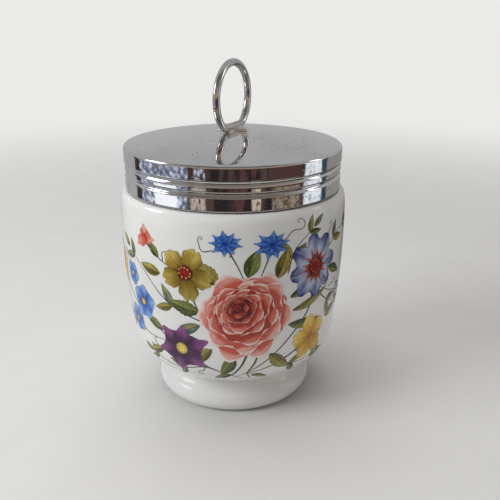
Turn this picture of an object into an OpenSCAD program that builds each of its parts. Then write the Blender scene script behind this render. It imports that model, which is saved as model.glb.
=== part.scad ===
// Egg coddler: a glazed porcelain cup with a threaded neck, and a pressed metal
// lid that screws over it. A ring to lift it by is brazed to the lid's dome.
// Millimetres. +Z is up, and the origin is the middle of the foot's resting face.

/* [Cup] */
// Height of the ledge round the neck, on which the lid's skirt comes down
shoulder_z = 60.8; // [57:0.1:66]
// How far the cup's widest part stands out beyond the lid
belly_out = 1.45; // [1:0.05:4]
// How far the widest part lies below the ledge
belly_drop = 8.8; // [6:0.1:14]
// Radius of the long curve up the bowl's side
side_curve_r = 220; // [160:5:400]
// Height where the side curve meets the lower bend
bend_top_z = 20; // [18:0.5:24]
// Radius of the bend from the side to the underside
bend_r = 12.2; // [10.5:0.1:14]
// Height of the rounding at the ledge's outer edge
shoulder_round_h = 3.2; // [1.5:0.1:5]
// Width of the rounding at the ledge's outer edge
shoulder_round_w = 1.5; // [0.8:0.05:1.8]
// Thickness of the bowl's wall
bowl_wall = 3; // [2.2:0.1:4]
// Thickness of the bowl's floor
floor_t = 4; // [3:0.1:5]

/* [Foot] */
// Largest radius of the foot ring
foot_r = 22.5; // [20.5:0.1:25]
// Radius of the bulge round the foot ring
foot_bulge_r = 3.2; // [2.2:0.1:4]
// Radius of the waist between the foot ring and the bowl
waist_r = 18.85; // [18:0.05:20]
// Width of the unglazed face that stands on the table
foot_land = 1.6; // [0.8:0.1:3]
// How far the foot ring's inner wall slopes inwards on its way up
foot_slope = 2.2; // [0.5:0.1:3]
// Radius of the fillet inside the foot ring
foot_fillet = 2; // [1:0.1:3]

/* [Neck and thread] */
// Height of the neck above the ledge
neck_h = 9.5; // [9:0.1:13]
// Wall of the neck under its thread
neck_wall = 2.6; // [2:0.1:3.5]
// Rounding of the rim
rim_round = 0.9; // [0.3:0.05:1.1]
// Height over which the bowl's inside draws in to the neck
throat_h = 10; // [6:0.5:14]
// Rise of the thread in one turn
thread_pitch = 5; // [4.6:0.1:5.6]
// Angle round the neck at which its thread starts
thread_start = 67; // [0:1:359]
// Turns of thread on the neck and in the liner
thread_turns = 1.15; // [0.8:0.05:1.25]
// How far the neck's thread stands out
thread_h = 1; // [0.7:0.05:1.3]
// Width of the neck's thread at its root
thread_w = 1.8; // [1.4:0.1:2]
// Width of the liner's thread at its root
liner_thread_w = 1.4; // [1.2:0.1:1.8]
// Gap between the neck's thread and the liner
thread_gap = 0.4; // [0.3:0.05:0.6]

/* [Lid] */
// Radius of the lid's upper band
lid_r = 30; // [28.5:0.1:32]
// Rise of the dome from the rim to the middle
dome_rise = 3.24; // [2.6:0.02:5]
// Rounding between the dome and the upper band
lid_edge_r = 0.9; // [0.8:0.05:1.6]
// Thickness of the lid's sheet
cap_wall = 0.7; // [0.5:0.05:0.75]
// How much smaller the lower band is than the upper one, in radius
band_step = 0.2; // [0:0.05:0.4]
// Depth of the rolled grooves
groove_depth = 0.5; // [0.3:0.05:0.7]
// Depth of the sharp groove's middle below the lid's rim
sharp_groove_drop = 4.55; // [4:0.05:4.8]
// Half the width of the sharp groove
sharp_groove_half = 0.9; // [0.6:0.05:1]
// Depth of the round groove's middle below the lid's rim
round_groove_drop = 7.2; // [6.8:0.05:8]
// Half the width of the round groove
round_groove_half = 0.85; // [0.6:0.05:1]
// Gap between the skirt's lower edge and the cup's ledge
skirt_gap = 0.3; // [0.2:0.05:0.6]

/* [Liner and washer] */
// Thickness of the liner's sheet
liner_t = 0.5; // [0.4:0.05:0.7]
// Width of the liner's flange over the washer
flange_w = 4.3; // [3.5:0.1:5]
// Thickness of the sealing washer
washer_t = 1; // [0.6:0.1:1.6]
// Width of the sealing washer
washer_w = 4.1; // [3.2:0.1:4.6]
// Gap between the washer's edge and the liner
washer_gap = 0.3; // [0.2:0.05:0.6]
// Gap left between faces that bear on each other
seat_gap = 0.05; // [0.02:0.01:0.1]

/* [Lifting ring] */
// Diameter of the ring's wire
wire_d = 2; // [1.5:0.1:2.6]
// Radius of the ring to the middle of its wire
ring_r = 9.25; // [8.5:0.05:9.8]
// Height of the ring, from the dome to its top
ring_h = 19.2; // [18.4:0.1:20]
// Bend radius at the ends of the ring's straight foot
ring_bend_r = 2; // [1.6:0.1:3]
// Angle of the ring's plane round the lid, from the front
ring_turn = 62.7; // [0:0.1:90]
// Width of the brazed fillet under the ring
braze_w = 5.2; // [3:0.1:6]
// Height of the brazed fillet at the wire
braze_h = 0.7; // [0.4:0.05:0.9]
// Height of the fillet's thin outer edge
braze_edge = 0.12; // [0.08:0.02:0.2]
// Thickness of the braze that ran in under the wire
braze_film = 0.15; // [0.1:0.05:0.3]

/* [Hidden] */
$fn = 96;

// Steps along a long curve, a short curve and one turn of thread
long_steps = 14;
short_steps = 8;
turn_steps = 40;

// Width of a thread's crest as a share of its root, and of the thread's height
// that lies in the wall it grows from
crest_share = 0.55;
rooted_share = 1 / 3;

// A thread's height at its very ends, inside the wall, and the steps in which it rises
end_rise = 0.1;
run_out_steps = 6;

// Steps round the ring, and sides of its wire
ring_steps = 44;
wire_sides = 12;

// Radii from the lid's outside in to the neck's bore
lower_band_r = lid_r - band_step;
liner_r = lower_band_r - groove_depth - cap_wall - seat_gap;
liner_bore_r = liner_r - liner_t;
neck_r = liner_bore_r - thread_gap - thread_h;
neck_bore_r = neck_r - neck_wall;
liner_crest_r = neck_r + thread_gap;
washer_r = liner_bore_r - washer_gap;
belly_r = lid_r + belly_out;

// Heights from the ledge up to the top of the dome
rim_z = shoulder_z + neck_h;
washer_z = rim_z + seat_gap;
flange_z = washer_z + washer_t + seat_gap;
liner_top_z = flange_z + liner_t;
lid_rim_z = liner_top_z + cap_wall;
apex_z = lid_rim_z + dome_rise;
skirt_z = shoulder_z + skirt_gap;
liner_foot_z = skirt_z + seat_gap;
thread_z = shoulder_z + (neck_h - rim_round - thread_pitch * thread_turns) / 2;

// The bowl's side and lower bend: two arcs that meet without a corner
belly_z = shoulder_z - belly_drop;
side_cx = belly_r - side_curve_r;
bend_angle = asin((bend_top_z - belly_z) / side_curve_r);
bend_cx = side_cx + (side_curve_r - bend_r) * cos(bend_angle);
bend_cz = belly_z + (side_curve_r - bend_r) * sin(bend_angle);
floor_z = bend_cz - bend_r + bowl_wall;
recess_z = floor_z - floor_t;

// The foot: a bulge, and a hollow curve that touches it and ends upright at the waist
waist_z = bend_cz - sqrt(bend_r * bend_r - (waist_r - bend_cx) * (waist_r - bend_cx));
bulge_cx = foot_r - foot_bulge_r;
hollow_dx = waist_r - bulge_cx;
hollow_dz = waist_z - foot_bulge_r;
hollow_r = (hollow_dx * hollow_dx + hollow_dz * hollow_dz - foot_bulge_r * foot_bulge_r)
    / (2 * (foot_bulge_r - hollow_dx));
touch_angle = atan2(hollow_dz, hollow_dx + hollow_r);
foot_bore_r = bulge_cx - foot_land;

// The dome: part of a ball through the lid's rim and apex
dome_r = (lid_r * lid_r + dome_rise * dome_rise) / (2 * dome_rise);
dome_cz = apex_z - dome_r;
edge_cx = lid_r - lid_edge_r;
edge_angle = acos(edge_cx / (dome_r - lid_edge_r));
edge_cz = dome_cz + (dome_r - lid_edge_r) * sin(edge_angle);
sharp_groove_z = lid_rim_z - sharp_groove_drop;
round_groove_z = lid_rim_z - round_groove_drop;

// The ring: a circle over a straight foot, joined by two bends
wire_r = wire_d / 2;
braze_z = apex_z + seat_gap;
foot_wire_z = braze_z + braze_film + seat_gap + wire_r;
ring_cz = apex_z + ring_h - wire_r - ring_r - foot_wire_z;
ring_bend_x = sqrt((ring_r - ring_bend_r) * (ring_r - ring_bend_r)
    - (ring_cz - ring_bend_r) * (ring_cz - ring_bend_r));
ring_bend_angle = atan2(ring_bend_r - ring_cz, ring_bend_x);

// The braze: round ends, through the ends of the wire's straight foot
braze_r = sqrt(ring_bend_x * ring_bend_x + wire_r * wire_r);

// Points along an arc about c, from angle a to angle b
function arc(c, r, a, b, steps) =
    [for (i = [0 : steps]) let (t = a + (b - a) * i / steps) [c[0] + r * cos(t), c[1] + r * sin(t)]];

// Radius of the bowl's side at height z, drawn in from the outside by inset
function side_r(z, inset) = side_cx + sqrt(pow(side_curve_r - inset, 2) - pow(z - belly_z, 2));

// Smooth step from 0 to 1
function ease(t) = (1 - cos(180 * min(max(t, 0), 1))) / 2;

// Outside of the cup, from the middle of its underside up to the rim
function cup_outside() = let (
    fillet_c = [foot_bore_r - foot_slope - foot_fillet, recess_z - foot_fillet],
    round_z = shoulder_z - shoulder_round_h,
    round_r = side_r(round_z, 0)
) concat(
    [[0, recess_z]],
    arc(fillet_c, foot_fillet, 90, 0, short_steps),
    [[foot_bore_r, 0]],
    arc([bulge_cx, foot_bulge_r], foot_bulge_r, -90, touch_angle, long_steps),
    arc([waist_r + hollow_r, waist_z], hollow_r, 180 + touch_angle, 180, short_steps),
    arc([bend_cx, bend_cz], bend_r, -acos((waist_r - bend_cx) / bend_r), bend_angle, long_steps),
    [for (i = [1 : long_steps]) let (z = bend_top_z + (round_z - bend_top_z) * i / long_steps) [side_r(z, 0), z]],
    [for (i = [1 : short_steps]) let (a = 90 * i / short_steps)
        [round_r - shoulder_round_w * (1 - cos(a)), round_z + shoulder_round_h * sin(a)]],
    [[neck_r, shoulder_z]],
    arc([neck_r - rim_round, rim_z - rim_round], rim_round, 0, 90, short_steps)
);

// Inside of the cup, from the rim down to the middle of its floor
function cup_inside() = let (
    throat_z = shoulder_z + rim_round,
    throat_foot_z = throat_z - throat_h
) concat(
    arc([neck_bore_r + rim_round, rim_z - rim_round], rim_round, 90, 180, short_steps),
    [for (i = [0 : long_steps]) let (
        t = i / long_steps,
        z = throat_z - throat_h * t
    ) [neck_bore_r + (side_r(z, bowl_wall) - neck_bore_r) * ease(t), z]],
    [for (i = [1 : long_steps - 1]) let (z = throat_foot_z + (bend_top_z - throat_foot_z) * i / long_steps)
        [side_r(z, bowl_wall), z]],
    arc([bend_cx, bend_cz], bend_r - bowl_wall, bend_angle, -90, long_steps),
    [[0, floor_z]]
);

// One ridge of thread: a strip of four-sided sections carried up a helix. Its
// base lies in the wall at base_r, and its crest runs into the wall at both ends.
module thread_ridge(base_r, crest_r, base_w, crest_w) {
    steps = round(turn_steps * thread_turns);
    function rise(i) = end_rise + (1 - end_rise) * ease(min(i, steps - i) / run_out_steps);
    function section(i) = let (
        a = 360 * thread_turns * i / steps,
        z = thread_z + thread_pitch * thread_turns * i / steps,
        r = base_r + (crest_r - base_r) * rise(i)
    ) [for (p = [[base_r, -base_w / 2], [r, -crest_w / 2], [r, crest_w / 2], [base_r, base_w / 2]])
        [p[0] * cos(a), p[0] * sin(a), z + p[1]]];
    quads = [for (i = [0 : steps - 1], j = [0 : 3])
        [4 * i + j, 4 * i + (j + 1) % 4, 4 * i + 4 + (j + 1) % 4, 4 * i + 4 + j]];
    halves = [for (q = quads, h = [0, 2]) [q[h], q[h + 1], q[(h + 2) % 4]]];
    ends = [[2, 1, 0], [3, 2, 0], [4 * steps, 4 * steps + 1, 4 * steps + 2], [4 * steps, 4 * steps + 2, 4 * steps + 3]];
    outward = concat(halves, ends);
    inward = [for (f = outward) [f[2], f[1], f[0]]];
    polyhedron([for (i = [0 : steps]) each section(i)], crest_r > base_r ? outward : inward);
}

// The cup, with its foot ring, bowl and threaded neck, is one piece of porcelain
module porcelain_cup() {
    root_r = neck_r - thread_h * rooted_share;
    color("#f5f3ee") union() {
        rotate_extrude() polygon(concat(cup_outside(), cup_inside()));
        rotate(thread_start) thread_ridge(root_r, neck_r + thread_h, thread_w, thread_w * crest_share);
    }
}

// The thread in the lid is a separate collar, held by the grooves rolled into the skirt
module threaded_liner() {
    color("#b9b4a8") union() {
        rotate_extrude() polygon([
            [liner_bore_r, liner_foot_z],
            [liner_r, liner_foot_z],
            [liner_r, liner_top_z],
            [liner_r - flange_w, liner_top_z],
            [liner_r - flange_w, flange_z],
            [liner_bore_r, flange_z]
        ]);
        rotate(thread_start + 180)
            thread_ridge(liner_bore_r + liner_t / 2, liner_crest_r, liner_thread_w, liner_thread_w * crest_share);
    }
}

// Flat ring that the rim presses against
module sealing_washer() {
    color("#4a4a48") translate([0, 0, washer_z]) difference() {
        cylinder(r = washer_r, h = washer_t);
        translate([0, 0, -washer_t]) cylinder(r = washer_r - washer_w, h = 3 * washer_t);
    }
}

// Radius of the skirt at height z: two bands with a sharp and a round groove
function skirt_r(z) = let (
    u = (z - sharp_groove_z) / sharp_groove_half,
    v = (z - round_groove_z) / round_groove_half,
    sharp = abs(u) < 1 ? 1 - sin(90 * abs(u)) : 0,
    round = abs(v) < 1 ? (1 + cos(180 * v)) / 2 : 0
) lid_r - band_step * ease((1 - u) / 2) - groove_depth * (sharp + round);

// Outline of the lid's sheet, drawn in from the outside by inset
function cap_outline(inset) = concat(
    arc([0, dome_cz], dome_r - inset, 90, edge_angle, long_steps),
    arc([edge_cx, edge_cz], lid_edge_r - inset, edge_angle, 0, short_steps),
    [for (i = [-long_steps / 2 : long_steps / 2])
        let (z = sharp_groove_z - sharp_groove_half * 2 * i / long_steps) [skirt_r(z) - inset, z]],
    [for (i = [-long_steps / 2 : long_steps / 2])
        let (z = round_groove_z - round_groove_half * 2 * i / long_steps) [skirt_r(z) - inset, z]]
);

// Domed sheet-metal lid with a skirt and a rounded lower edge
module lid_cap() {
    outside = cap_outline(0);
    inside = cap_outline(cap_wall);
    edge = arc([lower_band_r - cap_wall / 2, skirt_z + cap_wall / 2], cap_wall / 2, 0, -180, short_steps);
    color("#c9ccd0") rotate_extrude()
        polygon(concat(outside, edge, [for (i = [len(inside) - 1 : -1 : 0]) inside[i]]));
}

// Places its children upright on the dome, in the plane of the ring
module on_dome() {
    translate([0, 0, foot_wire_z]) rotate([90, 0, ring_turn]) children();
}

// Closed wire ring with a straight foot. Each entry of the route is a point on the
// wire's middle line and the direction in which the ring's outside lies there.
module lifting_ring() {
    function bow(c, r, a, b, steps) =
        [for (i = [0 : steps - 1]) let (t = a + (b - a) * i / steps) [c[0] + r * cos(t), c[1] + r * sin(t), t]];
    route = concat(
        bow([0, ring_cz], ring_r, ring_bend_angle, 180 - ring_bend_angle, ring_steps),
        bow([-ring_bend_x, ring_bend_r], ring_bend_r, 180 - ring_bend_angle, 270, short_steps),
        [[-ring_bend_x, 0, 270]],
        bow([ring_bend_x, ring_bend_r], ring_bend_r, 270, 360 + ring_bend_angle, short_steps)
    );
    count = len(route);
    points = [for (p = route, j = [0 : wire_sides - 1]) let (u = 360 * j / wire_sides) [
        p[0] + wire_r * cos(u) * cos(p[2]),
        p[1] + wire_r * cos(u) * sin(p[2]),
        wire_r * sin(u)
    ]];
    quads = [for (i = [0 : count - 1], j = [0 : wire_sides - 1])
        let (here = wire_sides * i, there = wire_sides * ((i + 1) % count), k = (j + 1) % wire_sides)
        [here + j, here + k, there + k, there + j]];
    color("#c4c7cb") on_dome()
        polyhedron(points, [for (q = quads, h = [0, 2]) [q[h], q[h + 1], q[(h + 2) % 4]]]);
}

// Round-ended pad of braze under the ring's foot, with a hollow fillet up each side of the wire
module ring_braze() {
    half_w = braze_w / 2;
    floor_y = braze_z - foot_wire_z;
    edge_y = floor_y + braze_edge;
    top_y = floor_y + braze_h;
    top_x = wire_r * cos(asin(top_y / wire_r)) + seat_gap;
    flank = [for (i = [0 : short_steps]) let (a = 90 * i / short_steps)
        [top_x + (half_w - top_x) * (1 - sin(a)), edge_y + (top_y - edge_y) * (1 - cos(a))]];
    other_flank = [for (i = [short_steps : -1 : 0]) [-flank[i][0], flank[i][1]]];
    color("#aeb0b0") intersection() {
        on_dome() rotate([0, 90, 0]) difference() {
            linear_extrude(height = 2 * ring_bend_x, center = true)
                polygon(concat([[half_w, floor_y]], flank, other_flank, [[-half_w, floor_y]]));
            cylinder(r = wire_r + seat_gap, h = 4 * ring_bend_x, center = true);
        }
        translate([0, 0, apex_z]) cylinder(r = braze_r, h = wire_d);
    }
}

porcelain_cup();
threaded_liner();
sealing_washer();
lid_cap();
lifting_ring();
ring_braze();
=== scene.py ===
"""Looks of the egg coddler: glazed porcelain with printed flowers, and a plated screw lid with its ring."""

import math

import bmesh
import bpy
import numpy as np
from mathutils import Matrix, Vector


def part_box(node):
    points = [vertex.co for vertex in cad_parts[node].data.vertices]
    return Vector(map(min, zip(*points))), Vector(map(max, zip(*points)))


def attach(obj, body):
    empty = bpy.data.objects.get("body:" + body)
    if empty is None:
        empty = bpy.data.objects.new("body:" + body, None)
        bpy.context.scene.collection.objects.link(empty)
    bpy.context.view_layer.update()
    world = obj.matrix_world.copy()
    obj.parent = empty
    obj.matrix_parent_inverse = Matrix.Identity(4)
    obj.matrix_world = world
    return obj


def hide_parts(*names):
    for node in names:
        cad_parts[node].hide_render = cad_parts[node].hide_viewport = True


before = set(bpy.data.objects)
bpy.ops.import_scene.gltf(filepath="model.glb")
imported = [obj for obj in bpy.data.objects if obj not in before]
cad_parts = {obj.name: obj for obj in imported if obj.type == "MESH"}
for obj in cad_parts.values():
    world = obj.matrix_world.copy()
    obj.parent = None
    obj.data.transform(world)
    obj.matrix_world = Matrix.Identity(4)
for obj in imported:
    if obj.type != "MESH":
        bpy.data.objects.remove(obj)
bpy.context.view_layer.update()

# -------- sizes, in millimetres

MM = 0.001


def radius_and_heights(box):
    """Radius, lower and upper height of a CAD node from its box."""
    low, high = (np.array(corner) / MM for corner in box)
    return high[0], low[2], high[2]


BELLY_R, _, RIM_Z = radius_and_heights(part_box("porcelain_cup"))
LID_R, SKIRT_Z, APEX_Z = radius_and_heights(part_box("lid_cap"))
LINER_R, LINER_Z, LINER_TOP_Z = radius_and_heights(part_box("threaded_liner"))
WASHER_R, WASHER_Z, WASHER_TOP_Z = radius_and_heights(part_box("sealing_washer"))
_, _, RING_TOP_Z = radius_and_heights(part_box("lifting_ring"))

NECK_H = 9.5
SHOULDER_Z = RIM_Z - NECK_H
BELLY_Z = SHOULDER_Z - 8.8
SIDE_R = 220.0  # the side's long arc
BEND_TOP_Z = 20.0
BEND_R = 12.2
SHOULDER_ROUND = (1.5, 3.2)  # across and up
BOWL_WALL = 3.0
FLOOR_T = 4.0
WAIST_R = 18.85
FOOT_R = 22.5
BULGE_R = 3.2
FOOT_LAND = 1.6
FOOT_SLOPE = 2.2
FOOT_FILLET = 2.0
WAIST_POOL_Z = 9.9
NECK_R = 26.65
NECK_BORE_R = 24.05
RIM_ROUND = 0.9
THROAT_H = 10.0

THREAD_PITCH = 5.0
THREAD_TURNS = 1.15
THREAD_START = 67.0
THREAD_H = 1.0
THREAD_W = 1.8
THREAD_EASE = 0.1  # of a turn
THREAD_FLANK = (0.45, 1.05)  # from crest to root, as shares of half the width
LINER_THREAD_W = 1.4
LINER_WALL = 0.5
FLANGE_W = 4.3
WASHER_W = 4.1
THREAD_GAP = 0.4
THREAD_Z = SHOULDER_Z + (NECK_H - RIM_ROUND - THREAD_PITCH * THREAD_TURNS) / 2

DOME_RISE = 3.24
LID_EDGE_R = 0.9
CAP_WALL = 0.7
BAND_STEP = 0.2
GROOVE_DEPTH = 0.5
SHARP_GROOVE = (4.55, 0.9)  # distance below the rim, half height
ROUND_GROOVE = (7.2, 0.85)

WIRE_R = 1.0
RING_R = 9.25
RING_BEND_R = 2.0
RING_TURN = math.radians(62.7)

# -------- arrays


def smooth(low, high, x):
    """Smooth step: t = (x - low) / (high - low), held to 0..1, then t * t * (3 - 2 t)."""
    t = np.clip((np.asarray(x, float) - low) / (high - low), 0, 1)
    return t * t * (3 - 2 * t)


def blend(a, b, share):
    """Colour a turned towards colour b by a share that may be an array of any shape."""
    share = np.asarray(share, float)[..., None]
    return np.asarray(a) * (1 - share) + np.asarray(b) * share


def painted(colour, *layers):
    """Colours laid over a first one, each by its share."""
    for over, share in layers:
        colour = blend(colour, over, share)
    return colour


def ink(red, green, blue):
    """Linear colour of a screen colour given as three numbers from 0 to 255."""
    c = np.array([red, green, blue]) / 255
    return np.where(c <= 0.04045, c / 12.92, ((c + 0.055) / 1.055) ** 2.4)


def coords(*parts):
    """Coordinates put together along a last axis, each stretched to the shape of all."""
    return np.stack(np.broadcast_arrays(*parts), axis=-1)


def arc(centre, radius, start, end, steps):
    """Points at centre + radius * (cos t, sin t), with t from start to end in degrees."""
    t = np.radians(np.linspace(start, end, steps + 1))
    return coords(centre[0] + radius * np.cos(t), centre[1] + radius * np.sin(t))


def line(start, end, steps):
    """Points spaced evenly from start to end."""
    t = np.linspace(0, 1, steps + 1)[:, None]
    return np.asarray(start, float) * (1 - t) + np.asarray(end, float) * t


def soften(points, passes):
    """Rounds corners: again and again, each inner point becomes half of itself plus a quarter of each
    neighbour."""
    points = points.copy()
    for _ in range(passes):
        points[1:-1] = (points[:-2] + 2 * points[1:-1] + points[2:]) / 4
    return points


def ruled(corners, steps):
    """Closed outline through corners, with a number of steps on each side. All corners but the first are
    slightly rounded."""
    ends = [*corners[1:], corners[0]]
    sides = [line(a, b, n)[:-1] for a, b, n in zip(corners, ends, steps)]
    return soften(np.concatenate([*sides, [corners[0]]]), 1)


def spread(points, gap):
    """The same route with a point about every gap, by its own length."""
    steps = np.linalg.norm(np.diff(points, axis=0), axis=1)
    along = np.concatenate([[0], np.cumsum(steps)])
    wanted = np.linspace(0, along[-1], max(2, round(along[-1] / gap)) + 1)
    return coords(*(np.interp(wanted, along, column) for column in points.T))


# -------- meshes


def grid_cells(rows, columns, close_rows=False, close_columns=False):
    """Row and column of each quad of a grid of points. A closed side has one more, from its last to its
    first."""
    i = np.arange(rows if close_rows else rows - 1)[:, None]
    j = np.arange(columns if close_columns else columns - 1)[None, :]
    return np.broadcast_arrays(i, j)


def grid_faces(rows, columns, *closed):
    """Quads of a grid of points, as (i, j), (i, j + 1), (i + 1, j + 1), (i + 1, j)."""
    i, j = grid_cells(rows, columns, *closed)
    i2, j2 = (i + 1) % rows, (j + 1) % columns
    quads = coords(i * columns + j, i * columns + j2, i2 * columns + j2, i2 * columns + j)
    return quads.reshape(-1, 4)


def grid_uv(rows, columns, *closed, low=0.002, high=0.998):
    """Corner coordinates of a grid's quads: column and row numbers scaled into the box from low to high."""
    i, j = grid_cells(rows, columns, *closed)
    corners = np.stack([coords(j + b, i + a) for a, b in ((0, 0), (0, 1), (1, 1), (1, 0))], axis=2)
    return (low + corners / np.array(i.shape[::-1]) * (np.asarray(high) - low)).reshape(-1, 4, 2)


def mesh_object(name, points, faces):
    """Makes a mesh object from points in millimetres and a list of faces."""
    mesh = bpy.data.meshes.new(name)
    mesh.from_pydata((points.reshape(-1, 3) * MM).tolist(), [], faces)
    piece = bpy.data.objects.new(name, mesh)
    bpy.context.collection.objects.link(piece)
    return piece


def solid(name, points, faces, corner_uv, body, slot, material, colours=None, weld=False):
    """Makes a piece from points in millimetres and quads, and lets it ride on a CAD body."""
    piece = mesh_object(name, points, faces.tolist())
    mesh = piece.data
    mesh.uv_layers.new(name="OFBake").data.foreach_set("uv", corner_uv.astype(np.float32).ravel())
    if colours is not None:
        layer = mesh.color_attributes.new("ink", "FLOAT_COLOR", "POINT")
        opaque = np.concatenate([colours, np.ones((len(colours), 1))], axis=1)
        layer.data.foreach_set("color", opaque.ravel())
    if weld:
        work = bmesh.new()
        work.from_mesh(mesh)
        bmesh.ops.remove_doubles(work, verts=work.verts, dist=1e-7)
        work.to_mesh(mesh)
        work.free()
    mesh.polygons.foreach_set("use_smooth", np.ones(len(mesh.polygons), bool))
    mesh.materials.append(material)
    mesh.update()
    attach(piece, body)
    return piece


def round_solid(name, points, *rest, close_rows=False, flip=False, weld=True):
    """A solid over a grid of points whose columns close. Flip turns its faces over."""
    grid = (*points.shape[:2], close_rows, True)
    faces, corner_uv = grid_faces(*grid), grid_uv(*grid)
    if flip:
        faces, corner_uv = faces[:, ::-1], corner_uv[:, ::-1]
    return solid(name, points, faces, corner_uv, *rest, weld=weld)


def lathe(name, profile, *rest, steps, bulge=None):
    """Turns a profile round the Z axis: (r, z) at angle a goes to (r cos a, r sin a, z), and bulge(a, r, z)
    is added to r."""
    a = np.arange(steps) * 2 * np.pi / steps
    r, z = profile[:, :1], profile[:, 1:]
    if bulge:
        r = r + bulge(np.degrees(a), r, z)
    return round_solid(name, coords(r * np.cos(a), r * np.sin(a), z), *rest)


def tube(name, route, outward, radius, *rest, sides=24):
    """Closed round tube: route + radius * (outward cos t + side sin t), where side is square to route and
    outward."""
    ahead = np.roll(route, -1, axis=0) - np.roll(route, 1, axis=0)
    ahead /= np.linalg.norm(ahead, axis=1, keepdims=True)
    side = np.cross(outward, ahead)
    t = np.arange(sides) * 2 * np.pi / sides
    ring = outward[:, None, :] * np.cos(t)[None, :, None] + side[:, None, :] * np.sin(t)[None, :, None]
    points = route[:, None, :] + radius * ring
    return round_solid(name, points, *rest, close_rows=True, flip=True, weld=False)


# -------- materials


class Sig:
    """A number that flows between shader nodes. Arithmetic on it adds Math nodes to its material."""

    def __init__(self, tree, socket):
        self.tree = tree
        self.socket = socket

    def math(self, operation, *others):
        """One Math node of this operation, on this number and the others."""
        node = self.tree.nodes.new("ShaderNodeMath")
        node.operation = operation
        for entry, value in zip(node.inputs, (self, *others)):
            if isinstance(value, Sig):
                self.tree.links.new(value.socket, entry)
            else:
                entry.default_value = value
        return Sig(self.tree, node.outputs[0])

    def of(self, value):
        """A plain number as a Sig of the same material."""
        node = self.tree.nodes.new("ShaderNodeMath")
        node.inputs[0].default_value = value
        node.inputs[1].default_value = 0
        return Sig(self.tree, node.outputs[0])

    def __add__(self, other):
        return self.math("ADD", other)

    __radd__ = __add__

    def __sub__(self, other):
        return self.math("SUBTRACT", other)

    def __rsub__(self, other):
        return self.of(other).math("SUBTRACT", self)

    def __mul__(self, other):
        return self.math("MULTIPLY", other)

    __rmul__ = __mul__

    def __truediv__(self, other):
        return self.math("DIVIDE", other)

    def __pow__(self, other):
        return self.math("POWER", other)

    def step(self, low, high):
        """Smooth step from 0 at low to 1 at high; low may be the larger."""
        node = self.tree.nodes.new("ShaderNodeMapRange")
        node.interpolation_type = "SMOOTHSTEP"
        falls = low > high
        ends = (min(low, high), max(low, high), float(falls), float(not falls))
        for entry, value in zip(node.inputs[1:5], ends):
            entry.default_value = value
        self.tree.links.new(self.socket, node.inputs[0])
        return Sig(self.tree, node.outputs[0])


class Finish:
    """A material under construction, with one Principled shader."""

    def __init__(self, name, **constants):
        self.material = bpy.data.materials.new(name)
        self.material.use_nodes = True
        self.tree = self.material.node_tree
        self.shader = self.tree.nodes["Principled BSDF"]
        self.surface = self.tree.nodes["Material Output"].inputs["Surface"]
        self.where = self.node("TexCoord").outputs["Object"]
        for socket, value in constants.items():
            self.shader.inputs[socket.replace("_", " ")].default_value = value

    def put(self, entry, value):
        """Links a socket or a Sig to an input, or sets the input to a value."""
        if isinstance(value, Sig):
            value = value.socket
        if isinstance(value, bpy.types.NodeSocket):
            self.tree.links.new(value, entry)
        else:
            entry.default_value = (*value, 1.0) if entry.type == "RGBA" and len(value) == 3 else value

    def node(self, kind, settings=None, **inputs):
        """Any node: its type, then its settings, then the values or links of its inputs by name."""
        node = self.tree.nodes.new("ShaderNode" + kind)
        for setting, value in (settings or {}).items():
            setattr(node, setting, value)
        for name, value in inputs.items():
            self.put(node.inputs[name.replace("_", " ")], value)
        return node

    def place(self):
        """Object coordinates x, y and z as numbers in millimetres."""
        parts = self.node("SeparateXYZ", Vector=self.where).outputs
        return [Sig(self.tree, part) * (1 / MM) for part in parts]

    def noise(self, scale, detail, stretch=(1, 1, 1), turn=(0, 0, 0), bend=0.0):
        """Noise of a given scale per millimetre, after the pattern is turned and stretched."""
        lay = self.node("Mapping", Vector=self.where, Scale=stretch, Rotation=turn).outputs[0]
        node = self.node("TexNoise", Vector=lay, Scale=scale / MM, Detail=detail, Distortion=bend)
        return Sig(self.tree, node.outputs[0])

    def cells(self, scale):
        """Distance to the nearest of scattered points, about 0 at a point and 0.5 between them."""
        node = self.node("TexVoronoi", Vector=self.where, Scale=scale / MM)
        return Sig(self.tree, node.outputs["Distance"])

    def mix(self, a, b, share):
        """Colour a turned towards colour b by a share."""
        node = self.node("Mix", {"data_type": "RGBA"})
        self.put(node.inputs[0], share)
        self.put(node.inputs[6], a)
        self.put(node.inputs[7], b)
        return node.outputs[2]

    def coats(self, colour, *layers):
        """Lays colours over a first one, each with its share."""
        for over, share in layers:
            colour = self.mix(colour, over, share)
        return colour

    def set(self, **inputs):
        """Sets or links inputs of the Principled shader."""
        for name, value in inputs.items():
            self.put(self.shader.inputs[name.replace("_", " ")], value)
        return self

    def bump(self, height, depth, strength):
        """Bump from a height of 0..1 that stands for depth millimetres."""
        self.set(Normal=self.node("Bump", Height=height, Distance=depth * MM, Strength=strength).outputs[0])
        return self


def radius_of(x, y):
    """Distance from the Z axis."""
    return (x * x + y * y) ** 0.5


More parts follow.
